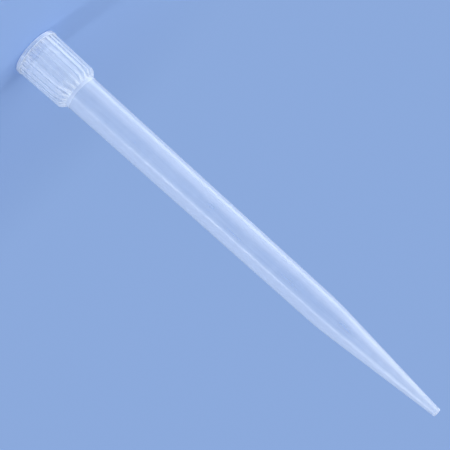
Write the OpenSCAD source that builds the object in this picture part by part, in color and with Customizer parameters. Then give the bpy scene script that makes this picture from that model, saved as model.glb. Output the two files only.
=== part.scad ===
// Large-volume pipette tip, moulded in one piece from natural polypropylene.
// A finned collar takes the pipette's nozzle. Below it a long, slightly tapered
// barrel holds the liquid, and a cone narrows it to the small end.
// The tip stands on its mouth: the mouth lies at z = 0 and the small end is on top.
// All lengths are in millimetres and all angles are in degrees.

/* [Overall] */
// Length of the tip from the mouth to the small end
tip_len = 150; // [130:1:170]

/* [Collar] */
// Length of the collar from the mouth to the neck
collar_len = 17.5; // [16:0.1:24]
// Thinnest wall of the collar, between the socket and the valleys of the fins
collar_wall = 0.65; // [0.5:0.05:1]
// Slope of the collar's outside, which widens towards the mouth
collar_draft = 1.1; // [0:0.1:2]
// Height of the plain band round the mouth
band_h = 1.3; // [0.8:0.1:2]
// How far the plain band stands proud of the fins
band_lip = 0.18; // [0.15:0.01:0.4]
// Radius of the band's outer edge at the mouth
band_edge = 0.3; // [0.1:0.05:0.5]
// Length of the sloping shoulder between the collar and the neck
shoulder_h = 3.9; // [3:0.1:5]

/* [Fins] */
// Number of fins round the collar
fin_count = 24; // [12:1:32]
// How far a fin stands out of the collar
fin_h = 0.45; // [0.3:0.05:0.8]
// Width of a fin at its crest
fin_crest_w = 0.36; // [0.3:0.02:0.5]
// Width of a fin at its root
fin_root_w = 0.52; // [0.5:0.02:0.7]
// Length of the chamfer where the fins run out to the neck
fin_chamfer_h = 1.45; // [1:0.05:2]
// Radius of the fins' corner at the shoulder
fin_corner = 0.9; // [0.3:0.1:1.2]

/* [Nozzle socket] */
// Diameter of the seat that grips the nozzle
seat_d = 12; // [11:0.1:13]
// Length of the seat
seat_len = 6; // [4:0.1:7]
// Length of the tapered lead-in between the mouth and the seat
lead_len = 4; // [2:0.1:5]
// How much wider than the seat the mouth is
lead_widening = 0.6; // [0.2:0.05:0.9]
// Chamfer on the mouth's inner edge
mouth_chamfer = 0.35; // [0.2:0.05:0.5]
// How much narrower than the seat the socket's floor is
socket_taper = 0.3; // [0.1:0.05:0.6]
// How far past the start of the shoulder the socket's floor lies
floor_set = 0.4; // [0:0.1:0.6]
// Height of the floor's slope down to the barrel's bore
floor_slope_h = 1.2; // [0.8:0.1:1.5]

/* [Barrel] */
// Diameter of the bore at the neck
neck_bore_d = 9.15; // [8.5:0.05:10]
// Diameter of the bore where the cone begins
cone_bore_d = 7.65; // [6:0.05:8.4]
// Wall of the barrel
barrel_wall = 0.9; // [0.6:0.05:1.1]
// Length of the ring bead round the neck
bead_len = 1; // [0.6:0.1:1.5]
// How far the bead stands proud of the barrel
bead_h = 0.1; // [0.05:0.01:0.25]

/* [Small end] */
// Length of the cone with its straight end
cone_len = 39.4; // [30:0.1:50]
// Radius of the curve that blends the barrel into the cone
blend_r = 120; // [20:5:160]
// Diameter of the opening at the small end
orifice_d = 1.4; // [0.9:0.05:2]
// Wall at the small end
end_wall = 0.65; // [0.4:0.05:0.8]
// Length of the straight stretch at the small end
end_land = 1.2; // [0.6:0.1:2]
// Radius of the small end's outer edge
end_edge = 0.2; // [0.1:0.05:0.3]

/* [Hidden] */
$fn = 96;

// Flat steps in which a rounded corner is turned
corner_steps = 4;
blend_steps = 8;

// Heights along the axis
shoulder_z = collar_len - shoulder_h;
fin_corner_z = collar_len - fin_chamfer_h;
floor_z = shoulder_z + floor_set;
cone_z = tip_len - cone_len;

// Radii, worked outwards from the bore that the nozzle fits
seat_r = seat_d / 2;
mouth_r = seat_r + lead_widening / 2;
floor_r = seat_r - socket_taper / 2;
neck_r = neck_bore_d / 2 + barrel_wall;
cone_r = cone_bore_d / 2 + barrel_wall;
end_r = orifice_d / 2 + end_wall;
band_r = fin_r(band_h) + band_lip;

// Outside of the collar between the fins, and over them, at height z
function valley_r(z) = seat_r + collar_wall + (fin_corner_z - z) * tan(collar_draft);
function fin_r(z) = valley_r(z) + fin_h;

// Radius of the barrel at height z, between the neck and the cone
function barrel_r(z) = neck_r + (cone_r - neck_r) * (z - collar_len) / (cone_z - collar_len);

function unit(v) = v / norm(v);

// Arc of radius r that rounds the corner at p, on the way from point a to point b
function rounded(a, p, b, r, steps) =
    let (
        to_a = unit(a - p),
        to_b = unit(b - p),
        half = acos(to_a * to_b) / 2,
        centre = p + unit(to_a + to_b) * r / sin(half),
        start = p + to_a * r / tan(half) - centre,
        side = sign(to_a[0] * to_b[1] - to_a[1] * to_b[0]),
        turn = -side * (180 - 2 * half)
    )
    [for (i = [0:steps])
        let (c = cos(turn * i / steps), s = sin(turn * i / steps))
        centre + [c * start[0] - s * start[1], s * start[0] + c * start[1]]];

// A closed outline from rows of [radius, height, corner radius, steps], of which
// a plain corner gives only the first two
function outline(rows) =
    let (n = len(rows), at = [for (row = rows) [row[0], row[1]]])
    [for (i = [0:n - 1])
        each len(rows[i]) == 2
            ? [at[i]]
            : rounded(at[(i + n - 1) % n], at[i], at[(i + 1) % n], rows[i][2], rows[i][3])];

// Outside of the wall, from the mouth to the small end
outer_rows = [
    [band_r, 0, band_edge, corner_steps],
    [band_r, band_h, band_lip / 2, corner_steps],
    [valley_r(band_h), band_h],
    [valley_r(shoulder_z), shoulder_z, fin_corner, corner_steps],
    [neck_r + bead_h, collar_len],
    [neck_r + bead_h, collar_len + bead_len, bead_h, corner_steps],
    [barrel_r(collar_len + bead_len + bead_h), collar_len + bead_len + bead_h],
    [cone_r, cone_z, blend_r, blend_steps],
    [end_r, tip_len - end_land],
    [end_r, tip_len, end_edge, corner_steps],
];

// Inside of the wall, from the small end back to the mouth
inner_rows = [
    [orifice_d / 2, tip_len],
    [cone_bore_d / 2, cone_z, blend_r, blend_steps],
    [neck_bore_d / 2, floor_z + floor_slope_h, fin_corner, corner_steps],
    [floor_r, floor_z, fin_corner / 2, corner_steps],
    [seat_r, lead_len + seat_len],
    [seat_r, lead_len],
    [mouth_r, mouth_chamfer],
    [mouth_r + mouth_chamfer, 0],
];

// The moulding without its fins
module wall() {
    rotate_extrude() polygon(outline(concat(outer_rows, inner_rows)));
}

// The ring that the fins fill: their crests, rounded corner and chamfer outside,
// and the middle of the wall that they are rooted in
module fin_envelope() {
    root_r = seat_r + collar_wall / 2;
    rotate_extrude()
        polygon(outline([
            [root_r, band_h / 2],
            [fin_r(band_h / 2), band_h / 2],
            [fin_r(fin_corner_z), fin_corner_z, fin_corner, corner_steps],
            [neck_r + bead_h, collar_len],
            [neck_r - barrel_wall / 2, collar_len],
            [root_r, shoulder_z],
        ]));
}

// One fin as a bar along the collar, which narrows from its root to its crest
module fin_bar() {
    root = valley_r(0);
    linear_extrude(height = collar_len)
        polygon([
            [neck_r / 2, -fin_root_w / 2],
            [root, -fin_root_w / 2],
            [root + fin_h, -fin_crest_w / 2],
            [root + fin_h, fin_crest_w / 2],
            [root, fin_root_w / 2],
            [neck_r / 2, fin_root_w / 2],
        ]);
}

module fins() {
    intersection() {
        fin_envelope();
        for (i = [0:fin_count - 1]) rotate(i * 360 / fin_count) fin_bar();
    }
}

module pipette_tip() {
    color("aliceblue") {
        wall();
        fins();
    }
}

pipette_tip();
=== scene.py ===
"""Looks for the pipette tip: natural polypropylene on a pale floor, in soft studio light.

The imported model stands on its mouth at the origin, with its small end up. Its mesh has flat
sides, which show in a gloss, so a finer mesh of the same moulding stands for it here. That mesh
also keeps how much light passes the plastic at each of its corners. The camera is turned about
its own line of sight, so that the standing tip lies across the picture, as in the photograph.
"""

import math

import bmesh
import bpy
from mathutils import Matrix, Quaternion, Vector


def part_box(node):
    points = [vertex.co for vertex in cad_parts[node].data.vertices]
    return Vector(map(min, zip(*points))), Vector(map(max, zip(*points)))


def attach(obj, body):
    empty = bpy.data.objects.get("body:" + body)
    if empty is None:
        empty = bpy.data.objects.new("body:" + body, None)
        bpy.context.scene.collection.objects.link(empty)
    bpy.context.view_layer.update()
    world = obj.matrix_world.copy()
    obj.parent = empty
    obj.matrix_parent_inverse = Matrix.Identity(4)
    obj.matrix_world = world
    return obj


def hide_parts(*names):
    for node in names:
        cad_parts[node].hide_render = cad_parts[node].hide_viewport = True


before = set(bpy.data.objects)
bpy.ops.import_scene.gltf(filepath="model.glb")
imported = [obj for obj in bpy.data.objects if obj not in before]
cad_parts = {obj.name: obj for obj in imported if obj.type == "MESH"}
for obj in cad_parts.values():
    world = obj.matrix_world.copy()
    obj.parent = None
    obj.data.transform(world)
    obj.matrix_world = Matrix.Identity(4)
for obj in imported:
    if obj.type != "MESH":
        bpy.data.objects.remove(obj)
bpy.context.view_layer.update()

# ---- Dimensions of the moulding, in millimetres and radians, as the part's source has them ----
MM = 0.001
TIP_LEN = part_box("pipette_tip")[1].z / MM

COLLAR_LEN = 17.5
COLLAR_WALL = 0.65
COLLAR_DRAFT = math.radians(1.1)
BAND_H = 1.3
BAND_LIP = 0.18
BAND_EDGE = 0.3
SHOULDER_H = 3.9

FIN_COUNT = 24
FIN_H = 0.45
FIN_CREST_W = 0.36
FIN_ROOT_W = 0.52
FIN_CHAMFER_H = 1.45
FIN_CORNER = 0.9

SEAT_D = 12
SEAT_LEN = 6
LEAD_LEN = 4
LEAD_WIDENING = 0.6
MOUTH_CHAMFER = 0.35
SOCKET_TAPER = 0.3
FLOOR_SET = 0.4
FLOOR_SLOPE_H = 1.2

NECK_BORE_D = 9.15
CONE_BORE_D = 7.65
BARREL_WALL = 0.9
BEAD_LEN = 1
BEAD_H = 0.1

CONE_LEN = 39.4
BLEND_R = 120
ORIFICE_D = 1.4
END_WALL = 0.65
END_LAND = 1.2
END_EDGE = 0.2

# ---- What only this finer mesh has, also in millimetres ----
# Radii of the fins' edges, of the rims and the neck, and of the corner between cone and small end
FIN_EDGE = 0.07
FILLET = 0.08
LAND_CORNER = 4
# How far below the neck the fins' last ring lies
FIN_RUNOUT = 0.05
# How far above and below the seat's start the skin's haze changes
HAZE_CHANGE = 0.5
# Heights that differ by less are the same
TOLERANCE = 0.001

# Flat steps in which a rounded corner is turned, and steps across half a valley
FILLET_STEPS = 3
LIP_STEPS = 4
EDGE_STEPS = 6
CREST_STEPS = 8
BLEND_STEPS = 16
VALLEY_STEPS = 3

# ---- Worked-out heights and radii ----
SHOULDER_Z = COLLAR_LEN - SHOULDER_H
FIN_CORNER_Z = COLLAR_LEN - FIN_CHAMFER_H
FLOOR_Z = SHOULDER_Z + FLOOR_SET
CONE_Z = TIP_LEN - CONE_LEN
SEAT_R = SEAT_D / 2
MOUTH_R = SEAT_R + LEAD_WIDENING / 2
FLOOR_R = SEAT_R - SOCKET_TAPER / 2
NECK_R = NECK_BORE_D / 2 + BARREL_WALL
CONE_R = CONE_BORE_D / 2 + BARREL_WALL
END_R = ORIFICE_D / 2 + END_WALL

# ---- Camera, in metres and radians ----
CAMERA_DISTANCE = 0.3424
CAMERA_HEIGHT = 0.108
CAMERA_TURN = math.radians(2.5)
CAMERA_ROLL = math.radians(132)
AIM_HEIGHT = 0.0731
AIM_SIDE = 0.0006
FIELD_OF_VIEW = math.radians(20.46)

# ---- Clear shares: how much of the light passes a surface unscattered ----
# The mesh keeps them at its corners under this name
CLEAR_ATTRIBUTE = "clear"
# The outer skin's where the wall is thin and where it is thick, in millimetres
THIN_WALL, THIN_CLEAR = 0.9, 0.72
THICK_WALL, THICK_CLEAR = 2.0, 0.55
# How much clearer the skin is round the lead-in, and how much hazier on the rest of the collar
LEAD_GAIN = 0.06
COLLAR_HAZE = 0.3
BAND_CLEAR = 0.85
BEAD_CLEAR = 0.45
# The bore's, and that of the socket, which is matt from its seat to its floor
BORE_CLEAR = 0.95
SOCKET_CLEAR = 0.45
# The far side's skin, which is seen from inside, has at least this one
FAR_CLEAR = 0.9
# A corner that bends this much loses this share to extra haze, a painted edge glow for the light that comes
# out of the wall there. An edge along the tip counts only in part.
SHARP_BEND = math.radians(15)
EDGE_GLOW_HAZE = 0.75
ALONG_SHARE = 0.25
# What a slanting look leaves of the skin's share: soon, over the first slants, and at the end
SLANT_BLEND = 0.35
FIRST_SLANTS, FIRST_LEFT = (0.02, 0.12), 0.75
LAST_LEFT = 0.3

# ---- Plastic ----
SKIN_SLOT, BORE_SLOT = 0, 1
PLASTIC_IOR = 1.49
PLASTIC_COLOUR = (0.84, 0.91, 1.0)
CLEAR_COLOUR = (0.97, 0.98, 0.995)
HAZE_ROUGHNESS = (0.32, 0.42)
GLOSS_ROUGHNESS = (0.16, 0.22)
# Noises by (cells to the metre, detail), and the values between which most of a noise lies
STREAKS = (900, 3)
CLOUDS = (160, 2)
PEEL = (2500, 1)
NOISE_SPAN = (0.3, 0.7)
# How much the streaks are drawn out along the tip, and the peel's share in the bump beside theirs
STREAK_STRETCH = 0.06
PEEL_SHARE = 0.3
BUMP_HEIGHT = 0.00001
# How much each pattern adds to the clear share or takes from it
UNEVENNESS = (-0.03, 0.03)

# ---- Backdrop and light, in metres ----
BACKDROP_COLOUR = (0.26, 0.40, 0.72)
# In the lamps' light, this paint shows as the backdrop's colour
FLOOR_COLOUR = (0.307, 0.466, 0.795)
FLOOR_ROUGHNESS = 0.9
FLOOR_RADIUS = 20
FLOOR_SIDES = 96
FLOOR_GAP = 0.0001
FLOOR_FADE = (0.03, 0.17)
AMBIENT = (0.39, 0.43, 0.51)
# See-through surfaces that one look may pass
CLEAR_LAYERS = 32


# ---- The moulding ----
def valley_r(z):
    """Radius of the collar between its fins at height z."""
    return SEAT_R + COLLAR_WALL + (FIN_CORNER_Z - z) * math.tan(COLLAR_DRAFT)


def barrel_r(z):
    """Radius of the barrel at height z, between the neck and the cone."""
    return NECK_R + (CONE_R - NECK_R) * (z - COLLAR_LEN) / (CONE_Z - COLLAR_LEN)


def rounded(before, corner, after, radius, steps):
    """Points of the arc that rounds a corner, on the way from the point before it to the one after."""
    before, corner, after = Vector(before), Vector(corner), Vector(after)
    to_before, to_after = (before - corner).normalized(), (after - corner).normalized()
    half = to_before.angle(to_after) / 2
    centre = corner + (to_before + to_after).normalized() * radius / math.sin(half)
    start = corner + to_before * radius / math.tan(half) - centre
    turn = math.copysign(math.pi - 2 * half, -to_before.cross(to_after))
    points = []
    for i in range(steps + 1):
        c, s = math.cos(turn * i / steps), math.sin(turn * i / steps)
        points.append(centre + Vector((c * start.x - s * start.y, s * start.x + c * start.y)))
    return points


def outline(rows):
    """An open line through rows of (x, y, corner radius, steps). A row of (x, y) is a plain corner."""
    points = []
    for i, row in enumerate(rows):
        if len(row) == 2:
            points.append(Vector(row))
        else:
            points += rounded(rows[i - 1][:2], row[:2], rows[i + 1][:2], *row[2:])
    return points


def radius_at(line, z):
    """Radius of a line of (radius, height) points that only rises, at height z."""
    for low, high in zip(line, line[1:]):
        if low.y <= z <= high.y and high.y > low.y:
            return low.x + (high.x - low.x) * (z - low.y) / (high.y - low.y)
    return line[-1].x


def fin_section():
    """Half of a fin and of the valley beside it: (sideways distance, share of the fin's height)."""
    line = outline([
        (0, FIN_H),
        (FIN_CREST_W / 2, FIN_H, FIN_EDGE, FILLET_STEPS),
        (FIN_ROOT_W / 2, 0, FIN_EDGE, FILLET_STEPS),
        (FIN_ROOT_W, 0),
    ])
    return [(p.x, p.y / FIN_H) for p in line[:-1]]


def crest_widening(crest):
    """How much wider than at the mouth a fin's crest is on each side, where it lies at that radius.

    The fin narrows only outside the valleys' widest radius, so its lower crest is the wider one.
    """
    narrowed = min(max((crest - valley_r(0)) / FIN_H, 0), 1)
    return (1 - narrowed) * (FIN_ROOT_W - FIN_CREST_W) / 2


def plain_rows(line):
    """Rows without fins, from an outline's points."""
    return [(p.x, p.x, p.y) for p in line]


def outer_rows():
    """The band's, the fins' and the barrel's rows, from the mouth to the small end.

    A row is (radius in the valleys, radius over the fins, height).
    """
    crest_top = valley_r(FIN_CORNER_Z) + FIN_H
    crest_low = valley_r(BAND_H) + FIN_H
    band_r = crest_low + BAND_LIP
    neck = (NECK_R + BEAD_H, COLLAR_LEN)

    band = outline([
        (MOUTH_R + MOUTH_CHAMFER, 0),
        (band_r, 0, BAND_EDGE, EDGE_STEPS),
        (band_r, BAND_EDGE + BAND_LIP),
        (band_r, BAND_H - BAND_LIP),
        (band_r, BAND_H, BAND_LIP / 2, LIP_STEPS),
        (crest_low, BAND_H),
    ])[1:-1]
    valley = outline([
        (valley_r(BAND_H), BAND_H),
        (valley_r(SHOULDER_Z), SHOULDER_Z, FIN_CORNER, EDGE_STEPS),
        neck,
    ])
    crest = outline([
        (crest_low, BAND_H),
        (crest_top, FIN_CORNER_Z, FIN_CORNER, CREST_STEPS),
        neck,
    ])
    heights = {round(p.y, 4) for p in valley[:-1] + crest[:-1]}
    heights |= {LEAD_LEN - HAZE_CHANGE, LEAD_LEN + HAZE_CHANGE, COLLAR_LEN - FIN_RUNOUT}
    fins = [(radius_at(valley, z), radius_at(crest, z), z) for z in sorted(heights)]

    barrel = outline([
        (valley_r(SHOULDER_Z), SHOULDER_Z),
        (*neck, FILLET, FILLET_STEPS),
        (NECK_R + BEAD_H, COLLAR_LEN + BEAD_LEN, BEAD_H, LIP_STEPS),
        (barrel_r(COLLAR_LEN + BEAD_LEN + BEAD_H), COLLAR_LEN + BEAD_LEN + BEAD_H),
        (CONE_R, CONE_Z, BLEND_R, BLEND_STEPS),
        (END_R, TIP_LEN - END_LAND, LAND_CORNER, EDGE_STEPS),
        (END_R, TIP_LEN, END_EDGE, EDGE_STEPS),
        (ORIFICE_D / 2, TIP_LEN),
    ])[1:-1]
    return plain_rows(band), fins, plain_rows(barrel)


def inner_rows():
    """The bore's and the socket's rows, from the small end back to the mouth."""
    return plain_rows(outline([
        (END_R, TIP_LEN),
        (ORIFICE_D / 2, TIP_LEN, FILLET, FILLET_STEPS),
        (CONE_BORE_D / 2, CONE_Z, BLEND_R, BLEND_STEPS),
        (NECK_BORE_D / 2, FLOOR_Z + FLOOR_SLOPE_H, FIN_CORNER, EDGE_STEPS),
        (FLOOR_R, FLOOR_Z, FIN_CORNER / 2, EDGE_STEPS),
        (SEAT_R, LEAD_LEN + SEAT_LEN),
        (SEAT_R, LEAD_LEN),
        (MOUTH_R, MOUTH_CHAMFER, FILLET, FILLET_STEPS),
        (MOUTH_R + MOUTH_CHAMFER, 0, FILLET, FILLET_STEPS),
        (MOUTH_R + MOUTH_CHAMFER + BAND_EDGE, 0),
    ])[1:-1])


def columns():
    """Columns (fin's angle, sideways distance, share of the valley, share of the fin's height, kept).

    The collar has all of them, and the plain rows only those that are kept: the fin's middle,
    the end of its crest's rounded edge, and those in the valley.
    """
    section = fin_section()
    root = section[-1][0]
    side = [(y, 0, w, i in (0, FILLET_STEPS + 1)) for i, (y, w) in enumerate(section)]
    side += [(root, (i + 1) / VALLEY_STEPS, 0, True) for i in range(VALLEY_STEPS)]
    pitch = [(-y, -v, w, kept) for y, v, w, kept in reversed(side[1:-1])] + side
    return [(2 * math.pi * k / FIN_COUNT, *column) for k in range(FIN_COUNT) for column in pitch]


def skin_clear(wall, z):
    """Clear share of the outer skin at height z, over a wall of that thickness."""
    if BAND_EDGE - TOLERANCE < z < BAND_H - BAND_LIP / 2 + TOLERANCE:
        return BAND_CLEAR
    if COLLAR_LEN <= z <= COLLAR_LEN + BEAD_LEN:
        return BEAD_CLEAR
    thickness = (wall - THIN_WALL) / (THICK_WALL - THIN_WALL)
    clear = THIN_CLEAR + (THICK_CLEAR - THIN_CLEAR) * min(max(thickness, 0), 1)
    if z < LEAD_LEN:
        return clear + LEAD_GAIN
    return clear - COLLAR_HAZE if z < COLLAR_LEN else clear


def bore_clear(z):
    """Clear share of the bore and the socket at height z."""
    return SOCKET_CLEAR if LEAD_LEN <= z <= FLOOR_Z + FLOOR_SLOPE_H else BORE_CLEAR


def ring_places(row, with_fins, all_columns):
    """The angle and radius of each column that a row has, by the column's number."""
    valley, crest, _ = row
    places = {}
    for i, (fin_angle, y, share, w, kept) in enumerate(all_columns):
        if with_fins or kept:
            sideways = y + math.copysign(crest_widening(crest) * w, y) if with_fins and y else y
            edge = math.asin(sideways / max(valley, NECK_R))
            angle = fin_angle + edge + share * (math.pi / FIN_COUNT - abs(edge))
            places[i] = (angle, valley + (crest - valley) * w)
    return places


def stretch(ring, first, last, count):
    """A ring's corners from one column to another, on round past the last of all the columns."""
    if last < first:
        last += count
    return [ring[i % count] for i in range(first, last + 1) if i % count in ring]


def loops_between(low, high, count):
    """The corners of each face between two rings. A face spans two kept columns where one ring is plain."""
    if len(low) == len(high):
        numbers = list(low)
        return [(low[i], low[j], high[j], high[i]) for i, j in zip(numbers, numbers[1:] + numbers[:1])]
    kept = list(min(low, high, key=len))
    return [
        stretch(low, i, j, count) + stretch(high, i, j, count)[::-1]
        for i, j in zip(kept, kept[1:] + kept[:1])
    ]


def paint_edge_glow_haze(mesh, clear):
    """Painted edge glow: more haze where the wall bends sharply outwards, standing in for the light that
    runs along the wall and comes out there. The lamps still light this haze.
    """
    for corner in mesh.verts:
        bends = []
        for edge in corner.link_edges:
            round_the_tip = edge.other_vert(corner).co.z == corner.co.z
            bends.append(edge.calc_face_angle_signed() * (1 if round_the_tip else ALONG_SHARE))
        corner[clear] *= 1 - EDGE_GLOW_HAZE * min(max(max(bends) / SHARP_BEND, 0), 1)


def tip_mesh():
    """The whole moulding as one closed skin of rings round the axis."""
    all_columns = columns()
    band, fins, barrel = outer_rows()
    inner = inner_rows()
    rows = [(row, False) for row in band] + [(row, True) for row in fins]
    rows += [(row, False) for row in barrel + inner]
    first_inner = len(rows) - len(inner)
    outside = [Vector((valley, z)) for valley, _, z in band + fins + barrel]
    inside = [Vector((valley, z)) for valley, _, z in reversed(inner)]

    mesh = bmesh.new()
    clear = mesh.verts.layers.float.new(CLEAR_ATTRIBUTE)
    rings = []
    for number, (row, with_fins) in enumerate(rows):
        valley, _, z = row
        wall = radius_at(outside, z) - radius_at(inside, z)
        ring = {}
        for i, (angle, r) in ring_places(row, with_fins, all_columns).items():
            ring[i] = mesh.verts.new((r * math.cos(angle) * MM, r * math.sin(angle) * MM, z * MM))
            ring[i][clear] = skin_clear(wall + r - valley, z) if number < first_inner else bore_clear(z)
        rings.append(ring)

    for number, (low, high) in enumerate(zip(rings, rings[1:] + rings[:1])):
        for loop in loops_between(low, high, len(all_columns)):
            face = mesh.faces.new(loop)
            face.material_index = SKIN_SLOT if number < first_inner else BORE_SLOT
            face.smooth = True
    bmesh.ops.recalc_face_normals(mesh, faces=mesh.faces)
    # Painted edge glow: extra haze at the sharp bends of fins, rims and edges
    paint_edge_glow_haze(mesh, clear)

    data = bpy.data.meshes.new("moulded_tip")
    mesh.to_mesh(data)
    mesh.free()
    return data


# ---- Nodes ----
def new_material(name):
    """A material of that name, and its node tree."""
    material = bpy.data.materials.new(name)
    material.use_nodes = True
    return material, material.node_tree


def show(tree, shader):
    """Makes the shader the material's surface."""
    tree.links.new(shader, tree.nodes["Material Output"].inputs["Surface"])


def remapped(tree, value, source, target, interpolation="LINEAR"):
    """The value carried from one range to another, and held at its ends."""
    node = tree.nodes.new("ShaderNodeMapRange")
    node.interpolation_type = interpolation
    node.inputs["From Min"].default_value, node.inputs["From Max"].default_value = source
    node.inputs["To Min"].default_value, node.inputs["To Max"].default_value = target
    tree.links.new(value, node.inputs["Value"])
    return node.outputs["Result"]


def combined(tree, operation, a, b):
    """The outcome of a Math node's operation on two values."""
    node = tree.nodes.new("ShaderNodeMath")
    node.operation = operation
    tree.links.new(a, node.inputs[0])
    tree.links.new(b, node.inputs[1])
    return node.outputs["Value"]


def mixed(tree, share, a, b):
    """Shader that shows a, and b by its share."""
    node = tree.nodes.new("ShaderNodeMixShader")
    tree.links.new(share, node.inputs["Fac"])
    tree.links.new(a, node.inputs[1])
    tree.links.new(b, node.inputs[2])
    return node.outputs["Shader"]


def backfacing(tree):
    """1 where a surface is seen from its back, and 0 elsewhere."""
    return tree.nodes.new("ShaderNodeNewGeometry").outputs["Backfacing"]


# ---- Plastic ----
def noise(tree, place, scale, detail):
    """A cloudy pattern from 0 to 1, with that many cells to the metre."""
    node = tree.nodes.new("ShaderNodeTexNoise")
    node.inputs["Scale"].default_value = scale
    node.inputs["Detail"].default_value = detail
    tree.links.new(place, node.inputs["Vector"])
    return node.outputs["Fac"]


def patterns(tree):
    """The plastic's own patterns: streaks in which the melt ran, cloudier patches, and a bump."""
    place = tree.nodes.new("ShaderNodeTexCoord").outputs["Object"]
    along = tree.nodes.new("ShaderNodeMapping")
    along.inputs["Scale"].default_value = (1, 1, STREAK_STRETCH)
    tree.links.new(place, along.inputs["Vector"])
    streaks = noise(tree, along.outputs["Vector"], *STREAKS)
    clouds = noise(tree, place, *CLOUDS)
    peel = remapped(tree, noise(tree, place, *PEEL), (0, 1), (0, PEEL_SHARE))
    bump = tree.nodes.new("ShaderNodeBump")
    bump.inputs["Distance"].default_value = BUMP_HEIGHT
    tree.links.new(combined(tree, "ADD", streaks, peel), bump.inputs["Height"])
    return streaks, clouds, bump.outputs["Normal"]


def clear_share(tree, streaks, clouds):
    """The mesh's clear share, a little uneven with the plastic's patterns."""
    given = tree.nodes.new("ShaderNodeAttribute")
    given.attribute_name = CLEAR_ATTRIBUTE
    uneven = combined(tree, "ADD", remapped(tree, streaks, NOISE_SPAN, UNEVENNESS),
                      remapped(tree, clouds, NOISE_SPAN, UNEVENNESS))
    return combined(tree, "ADD", given.outputs["Fac"], uneven)


def milky(tree, share, clouds, normal):
    """White haze mixed with the clear share, which lets what is behind through."""
    haze = tree.nodes["Principled BSDF"]
    haze.inputs["Base Color"].default_value = (*PLASTIC_COLOUR, 1)
    haze.inputs["IOR"].default_value = PLASTIC_IOR
    tree.links.new(normal, haze.inputs["Normal"])
    tree.links.new(remapped(tree, clouds, NOISE_SPAN, HAZE_ROUGHNESS), haze.inputs["Roughness"])
    clear = tree.nodes.new("ShaderNodeBsdfTransparent")
    clear.inputs["Color"].default_value = (*CLEAR_COLOUR, 1)
    return mixed(tree, share, haze.outputs["BSDF"], clear.outputs["BSDF"])


def skin_plastic():
    """Natural polypropylene: a milky haze that grows with the wall's thickness, under the mould's gloss."""
    material, tree = new_material("polypropylene_skin")
    streaks, clouds, normal = patterns(tree)

    # A slanting look goes through more of the wall
    weight = tree.nodes.new("ShaderNodeLayerWeight")
    weight.inputs["Blend"].default_value = SLANT_BLEND
    slant = weight.outputs["Facing"]
    share = combined(tree, "MULTIPLY", clear_share(tree, streaks, clouds),
                     remapped(tree, slant, FIRST_SLANTS, (1, FIRST_LEFT), "SMOOTHSTEP"))
    share = combined(tree, "MULTIPLY", share, remapped(tree, slant, (0, 1), (1, LAST_LEFT)))

    # The far side's skin is seen from inside, where it adds little haze of its own, and no gloss
    inside = backfacing(tree)
    share = combined(tree, "MAXIMUM", share, remapped(tree, inside, (0, 1), (0, FAR_CLEAR)))
    body = milky(tree, share, clouds, normal)

    gloss = tree.nodes.new("ShaderNodeBsdfGlossy")
    tree.links.new(normal, gloss.inputs["Normal"])
    tree.links.new(remapped(tree, clouds, NOISE_SPAN, GLOSS_ROUGHNESS), gloss.inputs["Roughness"])
    mirrored = tree.nodes.new("ShaderNodeFresnel")
    mirrored.inputs["IOR"].default_value = PLASTIC_IOR
    tree.links.new(normal, mirrored.inputs["Normal"])
    outside = remapped(tree, inside, (0, 1), (1, 0))
    glossy = combined(tree, "MULTIPLY", mirrored.outputs["Fac"], outside)
    show(tree, mixed(tree, glossy, body, gloss.outputs["BSDF"]))
    return material


def bore_plastic():
    """The same plastic inside, where it is clearer, so that the bore hardly shows from outside."""
    material, tree = new_material("polypropylene_bore")
    streaks, clouds, normal = patterns(tree)
    show(tree, milky(tree, clear_share(tree, streaks, clouds), clouds, normal))
    return material


# ---- The set ----
def seen_directly(tree):
    """1 for what the camera sees, also in a reflection or through plastic, and 0 for what lights the tip."""
    path = tree.nodes.new("ShaderNodeLightPath").outputs
    either = combined(tree, "MAXIMUM", path["Is Camera Ray"], path["Is Glossy Ray"])
    return combined(tree, "MAXIMUM", either, path["Is Transmission Ray"])


def backdrop_paint():
    """Pale paint that takes the tip's shadow, and further out fades into the plain backdrop.

    It covers only the floor's upper side, so the mouth shows from below.
    """
    material, tree = new_material("backdrop_paint")
    paint = tree.nodes["Principled BSDF"]
    paint.inputs["Base Color"].default_value = (*FLOOR_COLOUR, 1)
    paint.inputs["Roughness"].default_value = FLOOR_ROUGHNESS
    away = tree.nodes.new("ShaderNodeVectorMath")
    away.operation = "LENGTH"
    tree.links.new(tree.nodes.new("ShaderNodeTexCoord").outputs["Object"], away.inputs[0])
    fade = remapped(tree, away.outputs["Value"], FLOOR_FADE, (0, 1), "SMOOTHSTEP")
    glow = tree.nodes.new("ShaderNodeEmission")
    glow.inputs["Color"].default_value = (*BACKDROP_COLOUR, 1)
    faded = combined(tree, "MULTIPLY", fade, seen_directly(tree))
    upper = mixed(tree, faded, paint.outputs["BSDF"], glow.outputs["Emission"])
    lower = tree.nodes.new("ShaderNodeBsdfTransparent").outputs["BSDF"]
    show(tree, mixed(tree, backfacing(tree), upper, lower))
    return material


def turned(point, angle):
    """The point turned round the tip's axis."""
    return Quaternion((0, 0, 1), angle) @ Vector(point)


def look_at(thing, target, roll=0):
    """Points a camera or lamp at the target, turned by roll about its line of sight."""
    line = Vector(target) - thing.location
    thing.rotation_mode = "QUATERNION"
    thing.rotation_quaternion = line.to_track_quat("-Z", "Y") @ Quaternion((0, 0, 1), roll)


def add_camera():
    """The camera, which looks at the tip from a little above its middle."""
    data = bpy.data.cameras.new("camera")
    data.angle = FIELD_OF_VIEW
    camera = bpy.data.objects.new("camera", data)
    bpy.context.collection.objects.link(camera)
    camera.location = turned((AIM_SIDE, -CAMERA_DISTANCE, CAMERA_HEIGHT), -CAMERA_TURN)
    look_at(camera, turned((AIM_SIDE, 0, AIM_HEIGHT), -CAMERA_TURN), CAMERA_ROLL)
    bpy.context.scene.camera = camera


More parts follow.
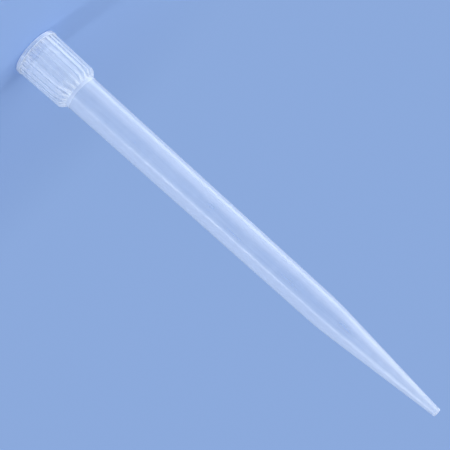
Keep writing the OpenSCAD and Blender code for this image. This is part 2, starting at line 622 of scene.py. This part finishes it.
def add_softbox(name, azimuth, distance, size, brightness, height=0):
    """A softbox that looks at the tip's middle, from that many degrees round it and that height above it.

    Azimuth 0 is the side that the camera is on. The brightness is that of the softbox's surface.
    """
    data = bpy.data.lights.new(name, "AREA")
    data.shape = "RECTANGLE"
    data.size, data.size_y = size
    data.energy = brightness * math.pi * size[0] * size[1]
    lamp = bpy.data.objects.new(name, data)
    bpy.context.collection.objects.link(lamp)
    middle = Vector((0, 0, TIP_LEN * MM / 2))
    lamp.location = turned((0, -distance, height), math.radians(azimuth)) + middle
    look_at(lamp, middle)
    lamp.visible_camera = False


def add_world():
    """Soft light from all round, behind the plain backdrop."""
    world = bpy.data.worlds.new("studio")
    world.use_nodes = True
    tree = world.node_tree
    colour = tree.nodes.new("ShaderNodeMix")
    colour.data_type = "RGBA"
    colour.inputs["A"].default_value = (*AMBIENT, 1)
    colour.inputs["B"].default_value = (*BACKDROP_COLOUR, 1)
    tree.links.new(seen_directly(tree), colour.inputs["Factor"])
    tree.links.new(colour.outputs["Result"], tree.nodes["Background"].inputs["Color"])
    bpy.context.scene.world = world


def add_floor():
    """The floor, which is so wide that its edge is out of sight."""
    bpy.ops.mesh.primitive_circle_add(vertices=FLOOR_SIDES, radius=FLOOR_RADIUS, fill_type="NGON")
    floor = bpy.context.object
    floor.name = "floor"
    floor.location.z = -FLOOR_GAP
    floor.data.materials.append(backdrop_paint())
    floor.visible_glossy = False


def add_tip():
    """The moulded tip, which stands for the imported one."""
    tip = bpy.data.objects.new("moulded_tip", tip_mesh())
    bpy.context.collection.objects.link(tip)
    tip.data.materials.append(skin_plastic())
    tip.data.materials.append(bore_plastic())
    tip.modifiers.new("normals", "WEIGHTED_NORMAL")
    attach(tip, "root")
    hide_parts("pipette_tip")


bpy.context.scene.view_settings.view_transform = "Standard"
bpy.context.scene.cycles.transparent_max_bounces = CLEAR_LAYERS
add_camera()
add_world()
add_softbox("key", azimuth=-64, distance=0.3, size=(0.36, 0.6), brightness=0.97)
add_softbox("edge", azimuth=-104, distance=0.3, size=(0.12, 0.6), brightness=2.65)
add_softbox("strip", azimuth=50, distance=0.3, size=(0.05, 0.6), brightness=6.2)
add_softbox("side", azimuth=100, distance=0.3, size=(0.4, 0.6), brightness=0.18)
add_softbox("top", azimuth=-30, distance=0.5, size=(0.8, 0.8), brightness=0.53, height=0.8)
add_floor()
add_tip()
